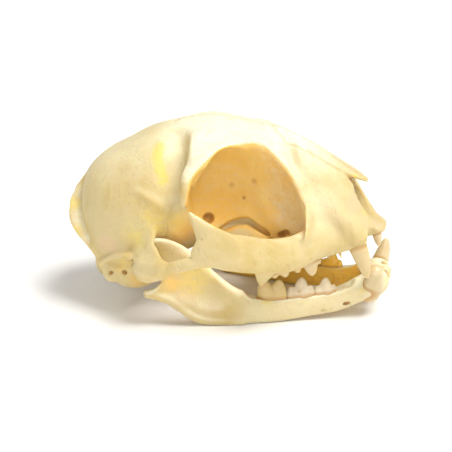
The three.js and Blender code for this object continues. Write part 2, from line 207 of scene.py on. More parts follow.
# %% A lump
def lump(centre, radii, turn=(0, 0, 0)):
    """An ellipsoid turned by degrees about x, y and z."""
    radii = np.array(radii, float)
    turned = Matrix.Rotation(math.radians(turn[2]), 3, "Z") @ Matrix.Rotation(
        math.radians(turn[1]), 3, "Y") @ Matrix.Rotation(math.radians(turn[0]), 3, "X")
    axes = np.array(turned)

    def measure(x, y, z):
        d = (x - centre[0], y - centre[1], z - centre[2])
        k0 = k1 = 0
        for c in range(3):
            q = d[0] * axes[0, c] + d[1] * axes[1, c] + d[2] * axes[2, c]
            k0 = k0 + (q / radii[c]) ** 2
            k1 = k1 + (q / radii[c] ** 2) ** 2
        k0, k1 = np.sqrt(k0), np.sqrt(k1) + 1e-6
        return k0 * (k0 - 1) / k1

    span = np.sqrt(((axes * radii) ** 2).sum(axis=1))
    return measure, np.array(centre) - span, np.array(centre) + span


# %% [markdown]
# ## From field to mesh
#
# The surface runs through every grid cell whose corners are partly inside and partly outside.
# One point goes in each such cell, at the mean of the places where the field crosses zero on the
# cell's edges, and is then pushed along the field's slope on to the surface itself. Four
# neighbouring points make a face. This is known as surface nets, and it gives even quads.

# %% Surface nets
CORNERS = np.array([(i, j, k) for i in (0, 1) for j in (0, 1) for k in (0, 1)])
EDGES = [(a, b) for a in range(8) for b in range(a + 1, 8)
         if np.abs(CORNERS[a] - CORNERS[b]).sum() == 1]


def blended(values, f):
    """The value at a place f inside each cell, from the cell's eight corners."""
    total = 0
    for c, corner in enumerate(CORNERS):
        share = np.prod(np.where(corner, f, 1 - f), axis=1)
        total = total + values[:, c] * share
    return total


def net(clay):
    """Points and four-sided faces where the clay's field is zero."""
    field, step = clay.field, clay.step
    inside = field < 0
    shape = np.array(field.shape) - 1
    count = np.zeros(shape, np.int8)
    for i, j, k in CORNERS:
        count += inside[i:i + shape[0], j:j + shape[1], k:k + shape[2]]
    cells = np.argwhere((count > 0) & (count < 8))
    values = np.stack([field[tuple((cells + corner).T)] for corner in CORNERS], axis=1)
    total = np.zeros((len(cells), 3))
    hits = np.zeros(len(cells))
    for a, b in EDGES:
        va, vb = values[:, a], values[:, b]
        cross = (va < 0) != (vb < 0)
        t = np.where(cross, va / np.where(cross, va - vb, 1), 0)[:, None]
        total += np.where(cross[:, None], CORNERS[a] + t * (CORNERS[b] - CORNERS[a]), 0)
        hits += cross
    f = total / hits[:, None]
    for _ in range(2):
        here = blended(values, f)
        slope = np.stack([
            blended(values, np.where(np.arange(3) == c, 1.0, f))
            - blended(values, np.where(np.arange(3) == c, 0.0, f)) for c in range(3)], axis=1)
        f = np.clip(f - (here / np.maximum((slope**2).sum(axis=1), 1e-4))[:, None] * slope, 0, 1)
    points = clay.low + (cells + f) * step
    number = np.full(shape, -1, np.int32)
    number[tuple(cells.T)] = np.arange(len(cells))
    faces = []
    for c in range(3):
        d, e = (c + 1) % 3, (c + 2) % 3
        low = [slice(1, -1)] * 3
        low[c] = slice(0, -1)
        high = list(low)
        high[c] = slice(1, None)
        here, ahead = inside[tuple(low)], inside[tuple(high)]
        for turned, hit in ((False, here & ~ahead), (True, ~here & ahead)):
            at = np.argwhere(hit)
            at[:, d] += 1
            at[:, e] += 1
            ring = []
            for back_d, back_e in ((1, 1), (0, 1), (0, 0), (1, 0)):
                cell = at.copy()
                cell[:, d] -= back_d
                cell[:, e] -= back_e
                ring.append(number[tuple(cell.T)])
            faces.append(np.stack(ring[::-1] if turned else ring, axis=1))
    return points, np.concatenate(faces)


# %% Reading the field between its grid points
def sampled(clay, points):
    """The field's value at any points, read between the grid's."""
    at = np.clip((points - clay.low) / clay.step, 0, np.array(clay.field.shape) - 1.001)
    cell = at.astype(int)
    values = np.stack([clay.field[tuple((cell + corner).T)] for corner in CORNERS], axis=1)
    return blended(values, at - cell)


def facing(clay, points):
    """The direction the surface faces at each point."""
    reach = 0.6
    slope = np.stack([
        sampled(clay, points + reach * axis) - sampled(clay, points - reach * axis)
        for axis in np.eye(3)], axis=1)
    return slope / np.maximum(np.linalg.norm(slope, axis=1, keepdims=True), 1e-6)


def laid(clay, rows, lift):
    """Rows x, y, z, ... moved on to the clay's surface and then `lift` out from it."""
    rows = np.array(rows, float)
    for _ in range(4):
        level = sampled(clay, rows[:, :3])[:, None]
        rows[:, :3] -= level * facing(clay, rows[:, :3])
    rows[:, :3] += lift * facing(clay, rows[:, :3])
    return rows


def mirrored(clay):
    """The same block with its other half, y below 0, added."""
    whole = Clay.__new__(Clay)
    whole.step = clay.step
    whole.field = np.concatenate([clay.field[:, :0:-1], clay.field], axis=1)
    whole.low = clay.low.copy()
    whole.low[1] = -clay.axes[1][-1]
    return whole


def smooth(value, low, high):
    """0 below `low`, 1 above `high`, and a soft step between them."""
    t = np.clip((value - low) / (high - low), 0, 1)
    return t * t * (3 - 2 * t)


# %% A mesh object
def make_object(name, points, faces):
    mesh = bpy.data.meshes.new(name)
    mesh.vertices.add(len(points))
    mesh.vertices.foreach_set("co", (points * MM).astype(np.float32).ravel())
    mesh.loops.add(faces.size)
    mesh.loops.foreach_set("vertex_index", faces.astype(np.int32).ravel())
    mesh.polygons.add(len(faces))
    mesh.polygons.foreach_set("loop_start", np.arange(0, faces.size, 4, dtype=np.int32))
    mesh.polygons.foreach_set("use_smooth", np.ones(len(faces), bool))
    mesh.update(calc_edges=True)
    mesh.validate()
    piece = bpy.data.objects.new(name, mesh)
    bpy.context.scene.collection.objects.link(piece)
    print(f"{name}: {len(points)} points, {len(faces)} faces")
    return piece


# %% [markdown]
# ## The cranium's block
#
# The cranium is modelled level, in its own frame, and tipped nose-up afterwards, because every
# anatomy book measures a skull from its level palate. Only the half with y above 0 is worked out.

# %% The cranium's block
GRID = 0.45
cranium = Clay((-46, 0, -14), (48, 35, 37), GRID)
PALATE = -9.5
print("cranium block:", cranium.field.shape)

# %% [markdown]
# ## Braincase, forehead and muzzle
#
# The braincase is the cat's most particular form: a thin round dome, widest low behind. The
# forehead rides over its front like a peaked cap whose corners end in a spike behind each eye.
# The muzzle is short and wedge-shaped. One lofted surface would need a seam where the forehead
# overhangs, so three bodies are melted together instead.

# %% Braincase, forehead and muzzle
braincase = body([
    (-39.2, 2.5, 12, 6, 9, 2),
    (-38.6, 6.5, 14.5, 4, 9, 2),
    (-37.4, 11.5, 20.6, 0.5, 9, 2),
    (-34.5, 16.0, 25.9, -2.6, 8, 2.1),
    (-28.5, 19.6, 29.8, -4, 8.5, 2.15),
    (-21, 21.2, 31.9, -4, 10, 2.15),
    (-13.5, 20.6, 33.8, -3.2, 12, 2.15),
    (-6, 17.2, 34.1, -2, 15, 2.2),
    (0, 14.4, 33.2, -1, 18, 2.3),
    (6, 11.5, 31.0, -1, 20, 2.4),
    (9, 5, 27, 8, 20, 2.4),
])
forehead = body([
    (-3.4, 11.0, 33.6, 15, 22, 2),
    (-1.6, 15.5, 33.6, 14.5, 19, 2),
    (-0.2, 21.4, 33.6, 14.5, 17, 2),
    (1.4, 22.8, 33.9, 14.5, 16.5, 2),
    (6.1, 18.2, 33.3, 13.5, 17.5, 2.05),
    (12.4, 14.1, 30.9, 11, 17, 2.1),
    (17.9, 12.6, 28.2, 8, 14, 2.1),
    (23.4, 9.8, 25.4, 2, 8, 2),
])
muzzle = body([
    (1, 8.6, 24, -1, 10, 2.4),
    (8, 8.8, 25, -8.6, 5, 2.4),
    (14, 9.0, 26, PALATE, 2, 2.3),
    (20, 10.2, 26, PALATE, 0, 1.9),
    (24, 14.2, 25.2, PALATE, -3, 1.3),
    (28, 14.5, 22.4, PALATE, -3, 1.5),
    (34, 12.2, 15.8, PALATE, -4, 1.85),
    (38.4, 10.6, 9.4, PALATE, -4.5, 2.1),
    (41.0, 8.4, 0.8, PALATE, -5.5, 2.2),
    (43.0, 6.2, -5.0, PALATE, -7.0, 2.1),
    (45.4, 4.0, -7.2, PALATE, -8.2, 2),
])
cranium.add(braincase, 0)
cranium.add(forehead, 3.0)
cranium.add(muzzle, 3.0)
spike = bar([
    (3.4, 13.0, 28.2, 1.0, 3.6),
    (2.6, 15.8, 27.0, 1.0, 3.1),
    (1.2, 18.8, 25.2, 0.9, 2.2),
    (-0.5, 21.8, 23.0, 0.8, 1.7),
    (-1.8, 23.3, 20.2, 0.65, 1.25),
    (-2.6, 24.0, 17.2, 0.5, 0.6),
], up=(-0.85, -0.15, 0.5))
temple_valley = laid(cranium, [
    (-4.4, 9.3, 33, 1.8, 1.8),
    (-4.0, 15.0, 29.4, 2.4, 2.4),
    (-4.8, 18.6, 24.5, 2.6, 2.6),
    (-6.0, 19.4, 19.0, 2.2, 2.2),
], 1.7)
temple_ridge = laid(cranium, [
    (-16.8, 19.2, 21.4, 0.5, 0.5),
    (-14.0, 19.5, 19.2, 1.0, 1.0),
    (-11.0, 19.6, 15.8, 1.1, 1.1),
    (-8.2, 18.9, 11.6, 0.8, 0.8),
], -0.6)
cranium.cut(bar(temple_valley), 3.5)
cranium.add(spike, 1.2)
cranium.add(bar(temple_ridge), 1.4)
print("bodies melted together")

# %% [markdown]
# ## Eye socket
#
# The socket is a flattened ball cut out of the side of the head, facing forward, out and up. Its
# rim is a slightly raised, rolled edge that runs from the forehead's spike over the top and down
# the front to the cheek. The cut comes first, and the rim is then laid along its edge. A Boolean
# modifier would leave a knife-sharp edge here, and this cut's edge comes out rounded.

# %% Eye socket
socket = lump((11.5, 17.9, 11.0), (16.9, 10.8, 16.5), (9, 0, 24))
socket_front = lump((18.3, 19.5, 12.0), (8.3, 12.6, 17.0), (0, -12, 0))
socket_rear = lump((7.0, 24.0, 13.5), (9.6, 9.0, 14.0), (0, 14, 0))
cranium.cut(socket, 1.0)
cranium.cut(socket_rear, 1.5)
cranium.cut(socket_front, 2.0)
socket_rim = bar([
    (-2.6, 24.2, 17.2, 0.5, 0.6),
    (-0.6, 23.0, 22.2, 0.6, 1.0),
    (5.4, 16.1, 26.2, 0.7, 1.2),
    (12.0, 10.7, 26.3, 0.7, 1.2),
    (18.3, 8.8, 24.8, 0.7, 1.2),
    (22.4, 9.2, 19.2, 0.8, 1.2),
    (25.4, 10.4, 11.6, 0.9, 1.3),
    (26.8, 12.6, 6.4, 1.2, 1.5),
    (27.0, 15.4, 3.0, 1.5, 1.9),
    (25.4, 18.6, -0.6, 2.0, 2.4),
], up=(0.2, 1, 0.5))
cranium.add(socket_rim, 4.0)
cranium.cut(socket, 0.3)
cranium.cut(socket_rear, 0.5)
cranium.cut(socket_front, 0.6)
print("socket cut and rimmed")

# %% [markdown]
# ## Cheek arch
#
# The arch is a flat strap of bone that stands off the head to let the jaw muscle through. It is
# deep under the eye, sends a pointed horn up towards the forehead's spike, thins, and then runs
# back into the broad roof of the jaw joint. A bevelled curve has one section all along, so each
# stretch is a bar, whose thickness and height change from row to row.

# %% Cheek arch
cheek_arch = bar([
    (28.5, 14.4, -4.0, 2.4, 4.6),
    (22.0, 20.4, -4.2, 2.2, 4.9),
    (15.5, 25.2, -1.9, 1.5, 4.9),
    (9.5, 28.6, 1.4, 1.3, 5.2),
    (4, 30.4, 4.0, 1.2, 4.7),
    (0.8, 30.9, 3.8, 1.2, 3.9),
    (-1.8, 31.0, 2.3, 1.15, 2.0),
    (-5.5, 31.1, 2.0, 1.15, 1.9),
    (-10.5, 30.5, 1.5, 1.2, 1.9),
    (-14.5, 29.3, 0.9, 1.2, 2.7),
    (-18.4, 27.6, 0.6, 1.1, 3.1),
    (-20.6, 25.6, 0.9, 1.0, 2.6),
    (-21.2, 24.6, 1.1, 0.8, 1.8),
])
cheek_horn = bar([
    (5.0, 30.0, 4.0, 1.1, 5.4),
    (2.6, 30.2, 9.0, 1.0, 3.2),
    (0.8, 29.8, 12.6, 0.8, 1.7),
    (-0.7, 29.1, 15.4, 0.5, 0.5),
], up=(1, 0, 0.3))
joint_roof = bar([
    (-19.2, 15, 4.6, 3.6, 4.0),
    (-19.4, 21, 3.6, 2.8, 2.9),
    (-18.2, 26.4, 2.4, 2.0, 2.0),
])
root_slope = bar([
    (-18.2, 18.0, 8.6, 1.8, 5.2),
    (-18.0, 21.6, 6.4, 1.3, 4.6),
    (-17.6, 24.2, 5.0, 1.1, 3.9),
    (-16.0, 26.8, 4.2, 1.0, 3.7),
    (-14.2, 29.2, 2.6, 0.9, 2.8),
], up=(0.76, 0, 0.65))
joint_stop = bar([
    (-20.6, 16.4, -0.8, 1.1, 2.8),
    (-20.8, 22, -0.8, 1.1, 2.9),
    (-20.6, 24.6, -0.4, 0.9, 2.2),
])
joint_hollow = bar([(-17.1, 14.0, -1.5, 2.75, 2.75), (-17.1, 25.0, -1.5, 2.75, 2.75)])
cheek_foot = bar([
    (15.5, 21.6, -4.8, 1.5, 3.6),
    (12.8, 19.8, -8.0, 1.2, 2.9),
    (10.8, 17.9, -11.2, 0.9, 1.5),
    (10.2, 17.4, -12.8, 0.7, 0.6),
], up=(1, 0, 0))
cranium.add(cheek_arch, 1.6)
cranium.add(cheek_foot, 1.4)
cranium.add(cheek_horn, 1.5)
cranium.add(joint_roof, 2.0)
cranium.add(root_slope, 2.0)
cranium.add(joint_stop, 1.2)
cranium.cut(joint_hollow, 0.6)
cranium.cut(lump((1.1, 31.8, 8.3), (0.4, 0.9, 0.4)), 0.2)
print("cheek arch on")

# %% [markdown]
# ## Back of the head
#
# A thin flange sweeps round the back for the neck muscles. Below it are the two knobs that rock
# on the first neck bone, with the hole for the spinal cord between them. The flange is a thin bar
# half sunk in the braincase, so it rises out of the bone with a soft foot on both sides.

# %% Back of the head
neck_crest = bar([
    (-37.0, -1.5, 20.8, 0.8, 2.6),
    (-38.6, 4, 18.8, 0.8, 2.8),
    (-38.6, 8, 16.8, 0.8, 2.8),
    (-38.2, 10.6, 14.4, 0.8, 3.0),
    (-36.4, 13, 11.2, 0.8, 2.9),
    (-33.6, 15.2, 7.0, 0.9, 2.6),
    (-32.2, 16.4, 2.4, 1.0, 2.2),
    (-32.0, 16.8, -2.2, 1.2, 1.7),
], up=(-1, 0.35, 0.1))
crown_crest = bar([
    (-27.0, 0, 28.6, 1.2, 1.0),
    (-31.5, 0, 26.3, 1.1, 1.3),
    (-35.5, 0, 23.2, 1.0, 1.6),
    (-38.2, 0, 20.6, 1.0, 1.8),
    (-40.0, 0, 18.8, 1.0, 1.2),
], up=(-0.5, 0, 0.85))
cranium.add(neck_crest, 1.6)
cranium.add(crown_crest, 1.4)
cranium.add(lump((-36.0, 6.2, -1.6), (3.0, 3.4, 4.2), (0, 0, 20)), 1.2)
print("crest and condyles on")

# %% [markdown]
# ## Ear capsule
#
# Under the braincase sits a smooth thin-walled bubble that housed the middle ear. The ear opens
# in its side below a sharp ledge, with smaller nerve holes beside it. A small melt keeps the
# bubble's outline crisp, where a large one would drown it in the braincase.

# %% Ear capsule
cranium.add(lump((-25.2, 11.4, -2.2), (8.4, 6.3, 6.7), (0, 0, -14)), 1.0)
cranium.add(lump((-31.2, 16.0, -1.2), (2.9, 2.2, 3.2)), 1.0)
ear_ledge = bar([
    (-33.6, 17.0, 2.2, 0.9, 0.7),
    (-30.2, 18.9, 3.7, 1.3, 0.8),
    (-26.1, 20.6, 4.5, 1.6, 0.8),
    (-22.8, 22.6, 4.4, 1.5, 0.8),
    (-21.2, 24.2, 3.6, 0.9, 0.7),
])
above_ledge = bar([(-32, 20.6, 6.6, 1.7, 1.7), (-27, 22.2, 7.8, 2.0, 2.0), (-23, 23.4, 7.8, 1.4, 1.4)])
below_ledge = bar([
    (-31.6, 19.4, 1.0, 1.0, 0.9), (-27, 20.6, 1.6, 1.7, 1.5), (-23.2, 22.4, 1.8, 1.5, 1.3)])
cranium.cut(above_ledge, 2.0)
cranium.add(ear_ledge, 1.0)
cranium.cut(below_ledge, 0.8)
cranium.cut(lump((-31.3, 18.2, -0.9), (0.8, 1.2, 0.6)), 0.3)
cranium.cut(lump((-27.5, 17.6, -1.7), (0.8, 1.3, 0.75)), 0.3)
cranium.cut(lump((-21.7, 24.6, 3.2), (0.9, 1.6, 0.8)), 0.4)
print("ear capsule on")

# %% [markdown]
# ## Palate, tooth ledges and throat
#
# The palate is a plate between two thick ledges that hold the cheek teeth. Behind it the nose
# opens into the throat between two thin upright walls, each with a small hook at its end. The
# palate is a body with a high fullness, which makes its sections nearly square.

# %% Palate, tooth ledges and throat
cranium.cut(bar([(-9, 0, -9.6, 5.0, 5.2), (2, 0, -9.6, 5.2, 5.4), (9, 0, -9.4, 4.2, 4.6)]), 1.0)
palate = body([
    (8, 12.5, -5.6, PALATE, -7.5, 3.5),
    (14, 15.4, -5.4, PALATE, -7.5, 3.5),
    (22, 15.0, -5.0, PALATE, -7.5, 3.5),
    (32, 11.6, -4.0, PALATE, -7.5, 3.5),
])
tooth_ledge = bar([
    (9.0, 15.6, -6.8, 1.9, 2.2),
    (16, 16.2, -7.0, 2.2, 2.9),
    (24, 14.2, -6.6, 2.2, 3.2),
    (31, 11.8, -6.6, 2.1, 3.3),
    (38, 9.8, -6.2, 2.3, 3.6),
])
throat_wall = bar([
    (10, 7.6, -6.4, 0.8, 3.0),
    (2, 6.6, -5.6, 0.7, 3.4),
    (-7, 6.2, -5.2, 0.7, 3.0),
    (-11.5, 6.8, -7.4, 0.6, 0.9),
])
canine_swelling = bar([
    (31.5, 8.4, 6.0, 2.0, 1.8),
    (35.4, 9.8, -0.5, 2.6, 2.6),
    (38.4, 9.5, -7, 2.7, 2.8),
], up=(1, 0, 0))
cranium.add(palate, 1.0)
cranium.add(tooth_ledge, 1.6)
cranium.add(canine_swelling, 2.0)
cranium.add(throat_wall, 0.8)
cranium.cut(bar([
    (4, 0, -11.2, 9.5, 2.6), (20, 0, -11.2, 10.0, 3.0),
    (34, 0, -11.2, 6.6, 2.8), (42, 0, -11.2, 4.0, 2.2)]), 1.0)
print("palate and ledges on")

# %% [markdown]
# ## Nose
#
# The nose opens forward in a pear-shaped hole roofed by the two nasal bones, whose thin tips
# stand free over it. The tips go on first and the hole is cut last, which thins them from below.

# %% Nose
nasal_roof = bar([(30, 0, 18.0, 4.2, 1.6), (36.5, 0, 11.8, 3.6, 1.2), (41.6, 0, 7.2, 1.6, 0.5)])
nasal_tip = bar([(34.0, 2.4, 14.0, 1.4, 0.8), (39.5, 1.8, 9.3, 1.3, 0.6), (43.2, 0.6, 5.9, 0.7, 0.35)])
cranium.add(nasal_roof, 1.5)
cranium.add(nasal_tip, 0.8)
cranium.cut(bar([
    (46, 0, -1.0, 4.4, 4.4), (39, 0, 1.2, 4.2, 5.0),
    (31, 0, 3.0, 3.2, 5.4), (25, 0, 3.0, 2.2, 3.6)]), 0.8)
fang_notch = lump((42.2, 8.4, -9.8), (2.1, 3.6, 4.6), (0, 12, 0))
cranium.cut(fang_notch, 0.8)
print("nose opened")

# %% [markdown]
# ## Brain's hollow and nerve holes
#
# The braincase is a shell about two millimetres thick, open at the back of the skull. Nerves and
# vessels leave through small clean-edged holes. Cutting a second, smaller dome out of the inside
# is simpler than a Solidify modifier, which folds over itself in tight places.

# %% Brain's hollow and nerve holes
brain_hollow = body([
    (-35.6, 6.5, 17, 4, 9, 2),
    (-33.0, 13.2, 22, 0, 9, 2),
    (-26.0, 17.6, 27.2, -1.4, 9, 2.1),
    (-18, 19.0, 30.4, -1.4, 10.5, 2.15),
    (-10, 17.0, 31.2, -0.6, 13, 2.15),
    (-6.5, 13.4, 31.0, 1.5, 14.5, 2.15),
    (-4.3, 10.0, 30.0, 4.0, 15.5, 2.15),
])
cranium.cut(brain_hollow, 1.0)
cranium.cut(bar([(-44, 0, 4.4, 5.6, 4.8), (-30, 0, 6.4, 5.6, 5.2)]), 0.8)
NERVE_HOLES = [
    # x, y, z, radii
    (-1.2, 9.8, 6.9, 1.5, 1.9, 1.4),
    (17.8, 7.8, -1.9, 1.1, 1.6, 0.8),
    (19.6, 7.9, -1.5, 0.9, 1.5, 0.7),
    (13.8, 8.5, -2.9, 0.5, 1.0, 0.4),
    (9.0, 6.0, 9.6, 0.25, 0.8, 0.25),
]
hole_places = laid(cranium, [hole[:3] for hole in NERVE_HOLES], 0)
nerve_holes = [lump(place, hole[3:]) for place, hole in zip(hole_places, NERVE_HOLES)]
for hole in nerve_holes:
    cranium.cut(hole, 0.3)
print(f"{len(NERVE_HOLES)} nerve holes on each side")

# %% [markdown]
# The socket's inner wall stops at a curved lip, with a fossa under it and a pale swelling below
# that. A slit for the tear duct lies just inside the front of the rim.

# %% Socket's inner lip and tear duct
LIP = [
    (0.3, 9.2, 2.4, 0.7, 0.7),
    (4.3, 7.3, 3.2, 1.2, 1.0),
    (8.1, 7.2, 3.1, 1.3, 1.1),
    (10.2, 7.8, 1.8, 1.2, 1.0),
    (12.4, 8.2, -0.2, 1.0, 0.9),
    (13.6, 8.4, -1.6, 0.6, 0.6),
]
cranium.add(lump((6.8, 8.2, -1.6), (7.2, 2.6, 3.4), (0, 12, 0)), 1.0)
cranium.cut(bar(LIP), 0.5)
tear_duct = bar([
    (24.6, 12.4, 9.4, 0.5, 0.5), (26.0, 14.2, 6.4, 0.9, 0.9), (25.9, 14.9, 3.6, 0.8, 0.8)])
cranium.cut(tear_duct, 0.6)
print("lip and tear duct in")

# %% [markdown]
# The cranium is tipped nose-up by 15 degrees, as it lies on its own lower jaw. The points
# themselves are tipped, so the object keeps no turn for later steps to mind.

# %% The cranium's mesh
PITCH = math.radians(15)
LIFT = 22.0
MIDDLE_X = 1.56


def tipped(points):
    """From the cranium's level frame to the model's."""
    x, y, z = points.T
    return np.stack([
        x * math.cos(PITCH) - z * math.sin(PITCH) - MIDDLE_X, y,
        LIFT + x * math.sin(PITCH) + z * math.cos(PITCH)], axis=1)


head_points, faces = net(mirrored(cranium))
cranium_piece = make_object("cranium_bone", tipped(head_points), faces)
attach(cranium_piece, "root")
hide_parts("cranium")

# %% [markdown]
# ## Lower jaw
#
# Each half of the jaw is a thick bar with a thin upright plate behind it. The plate's outline is
# an easier thing to draw than its sections, so it is a flat outline given a thickness, turned a
# little outward to follow the side of the head.

# %% A plate from an outline
EDGE_MELT = 1.0


def curve(start, *steps):
    """Points along straight (2 numbers) and bent (4 or 6 numbers) strokes."""
    points = [start]
    for step in steps:
        stops = [points[-1], *[step[i:i + 2] for i in range(0, len(step), 2)]]
        if len(stops) == 2:
            points.append(stops[1])
            continue
        for t in np.linspace(0, 1, 9)[1:]:
            level = [np.array(s, float) for s in stops]
            while len(level) > 1:
                level = [a + (b - a) * t for a, b in zip(level, level[1:])]
            points.append(tuple(level[0]))
    return np.array(points)


def plate(outline, corner, yaw, thick):
    """An upright plate: an outline in (along, height) from `corner`, turned outward by `yaw`."""
    along = np.array([math.cos(yaw), -math.sin(yaw)])
    pairs = np.stack([outline, np.roll(outline, -1, axis=0)], axis=1)

    def measure(x, y, z):
        s = (x - corner[0]) * along[0] + (y - corner[1]) * along[1]
        w = (x - corner[0]) * -along[1] + (y - corner[1]) * along[0]
        least = None
        inside = False
        for (s0, z0), (s1, z1) in pairs:
            ds, dz = s1 - s0, z1 - z0
            t = np.clip(((s - s0) * ds + (z - z0) * dz) / (ds * ds + dz * dz), 0, 1)
            away = (s - s0 - t * ds) ** 2 + (z - z0 - t * dz) ** 2
            least = away if least is None else np.minimum(least, away)
            if dz:
                inside = inside ^ (((z0 > z) != (z1 > z)) & (s < ds * (z - z0) / dz + s0))
        edge = np.sqrt(least) * np.where(inside, -1, 1)
        return -melt_min(-edge, thick / 2 - np.abs(w), EDGE_MELT)

    far = np.abs(outline[:, 0]).max()
    low = (corner[0] - far, corner[1] - thick, outline[:, 1].min())
    high = (corner[0] + outline[:, 0].max(), corner[1] + far * math.sin(yaw) + thick,
            outline[:, 1].max())
    return measure, low, high


# %% The jaw's forms
jaw = Clay((-24, 0, -1), (50, 30, 29), 0.4)
jaw_bar = bar([
    (46.2, 2.4, 11.4, 1.8, 2.3),
    (43.6, 4.4, 9.6, 2.9, 4.0),
    (39.0, 6.2, 7.8, 2.9, 3.7),
    (33.0, 8.4, 5.7, 2.4, 3.9),
    (25.0, 11.2, 4.9, 2.3, 4.1),
    (16.0, 14.2, 4.3, 2.4, 4.6),
    (8.0, 16.8, 4.6, 2.2, 4.9),
    (0.0, 18.6, 5.1, 1.7, 5.3),
    (-8.0, 20.2, 7.4, 0.9, 4.2),
])
RAMUS_CORNER = (8.5, 16.9)
RAMUS_YAW = math.radians(12.5)
ramus = plate(curve(
    (3, 2.0),
    (-3, -0.6, -9, -0.9, -13, 0.1),
    (-16.5, 1.6, -19.5, 8.3, -28.2, 8.4),
    (-28.0, 9.6),
    (-24.4, 11.2, -23.4, 13.4),
    (-26.4, 14.6),
    (-26.4, 16.6),
    (-24.4, 17.2, -24.2, 19.4),
    (-24.6, 23.0, -26.4, 26.0),
    (-21.0, 27.0, -15.6, 22.4),
    (-10, 17.6, -6.5, 11.0, 1.0, 9.0),
    (3, 8.0),
), RAMUS_CORNER, RAMUS_YAW, 1.8)
jaw_condyle = bar([
    (-15.9, 16.6, 16.1, 0.8, 0.8),
    (-16.0, 18.2, 16.1, 2.1, 2.1),
    (-16.2, 22.4, 16.2, 2.2, 2.2),
    (-16.0, 24.4, 16.2, 1.7, 1.7),
    (-15.8, 25.0, 16.2, 0.7, 0.7),
])
jaw_angle = bar([
    (-9, 20.6, 7.0, 1.5, 2.4),
    (-14, 21.4, 8.4, 1.4, 1.5),
    (-19, 21.8, 9.2, 0.6, 0.6),
])
coronoid_edge = bar([
    (-13.6, 21.6, 24.2, 0.8, 0.9),
    (-5.4, 20.3, 19.2, 1.1, 1.1),
    (1.0, 18.9, 13.0, 1.3, 1.2),
    (6.5, 17.9, 8.6, 1.3, 1.2),
])
jaw.add(jaw_bar, 0)
jaw.add(ramus, 1.6)
jaw.add(jaw_condyle, 1.5)
jaw.add(jaw_angle, 1.2)
jaw.add(coronoid_edge, 1.2)
jaw.add(lump((43.2, 3.0, 9.2), (3.9, 3.2, 4.3), (0, 30, 0)), 1.2)
jaw.add(lump((42.2, 6.6, 8.2), (2.9, 2.6, 1.8), (0, -30, 0)), 1.6)
jaw.cut(lump((47.2, 2.6, 12.4), (2.4, 1.1, 2.6), (0, -40, 0)), 0.5)
jaw.cut(lump((-3.5, 22.2, 10.6), (8.0, 2.4, 4.6), (0, 30, -12.5)), 1.2)
lower_lip = bar([
    (-18.0, 22.4, 9.4, 0.7, 0.7),
    (-11.5, 22.2, 7.4, 0.8, 0.7),
    (-6.5, 21.2, 3.2, 0.9, 0.8),
    (-1.0, 19.9, 1.2, 1.0, 0.8),
    (8.0, 18.0, 0.9, 0.9, 0.7),
])
jaw.add(lower_lip, 1.2)
gum_line = bar([
    (10.5, 15.8, 10.2, 2.8, 2.6),
    (16.0, 14.2, 9.7, 2.9, 3.0),
    (24.0, 11.6, 9.9, 2.8, 2.6),
    (31.0, 9.2, 10.3, 2.6, 2.4),
    (36.0, 7.6, 11.6, 2.4, 2.2),
])
jaw.cut(gum_line, 0.8)
for x, y, z, size in ((36.1, 9.0, 4.9, 1.4), (30.1, 11.4, 3.0, 0.8)):
    jaw.cut(lump((x, y, z), (size, 0.8, size * 0.5)), 0.4)
print("jaw block:", jaw.field.shape)

# %% Two jaw halves
SYMPHYSIS = 0.15
jaw_middle = (lambda x, y, z: y - SYMPHYSIS + 0 * (x + z), (-30, -1, -5), (60, 0.6, 35))
jaw.cut(jaw_middle, 0.3)
jaw_floor = (lambda x, y, z: z + 0 * (x + y), (-30, -1, -5), (60, 30, 0.3))
jaw.cut(jaw_floor, 0.1)
jaw_points, faces = net(jaw)
jaw_pieces = {}
for name, side in (("right", -1), ("left", 1)):
    placed = jaw_points * (1, side, 1) - (MIDDLE_X, 0, 0)
    turned = faces[:, ::-1] if side < 0 else faces
    piece = make_object(f"jaw_bone_{name}", placed, turned)
    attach(piece, "root")
    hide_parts(f"mandible_{name}")
    jaw_pieces[name] = piece

# %% [markdown]
# ## Teeth
#
# A tooth is harder and glossier than the bone it stands in, and its parts are small, so each one
# gets a finer block of its own and stays a separate piece. Cusps are short tapered bars melted
# into each other; their roots run on into the bone.

# %% Teeth
TOOTH_GRID = 0.16


def cusp(root, tip, half, deep, bow=0.0, blunt=0.18):
    """One pointed cusp from its root to its tip. `half` is along the jaw, `deep` across it."""
    root, tip = np.array(root, float), np.array(tip, float)
    rows = []
    for t in (0, 0.35, 0.6, 0.8, 0.93, 1.0):
        left = max(math.sqrt(1 - t**1.8), 0.02)
        place = root + (tip - root) * t
        place[0] += bow * 4 * t * (1 - t)
        rows.append((*place, max(deep * left, blunt), max(half * left, blunt)))
    return bar(rows, up=(1, 0, 0), samples=16)


def tooth(name, cusps, melt, place, node, age=0.3, sides=("right", "left"), glow=1.0):
    """A tooth on each side named. `age` is how yellow it is, and `glow` how strongly its
    inner faces are painted with an orange glow, for light through the jaw.
    """
    forms = [cusp(*c) for c in cusps]
    low = np.min([f[1] for f in forms], axis=0) - 1
    high = np.max([f[2] for f in forms], axis=0) + 1
    block = Clay(low, high, TOOTH_GRID)
    for form in forms:
        block.add(form, melt)
    points, faces = net(block)
    # Faces turned to the mouth's middle get a painted orange glow, for light through the jaw
    inner = glow * smooth(-facing(block, points)[:, 1], 0.0, 0.7)
    for side_name in sides:
        side = -1 if side_name == "right" else 1
        at = place(points * (1, side, 1))
        piece = make_object(f"{name}_{side_name}", at, faces[:, ::-1] if side < 0 else faces)
        tooth_points[piece.name] = (points, inner, age)
        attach(piece, "root")
        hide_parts(node.format(side_name))
        teeth.append(piece)


teeth = []
tooth_points = {}
UPPER = (tipped, "cranium")
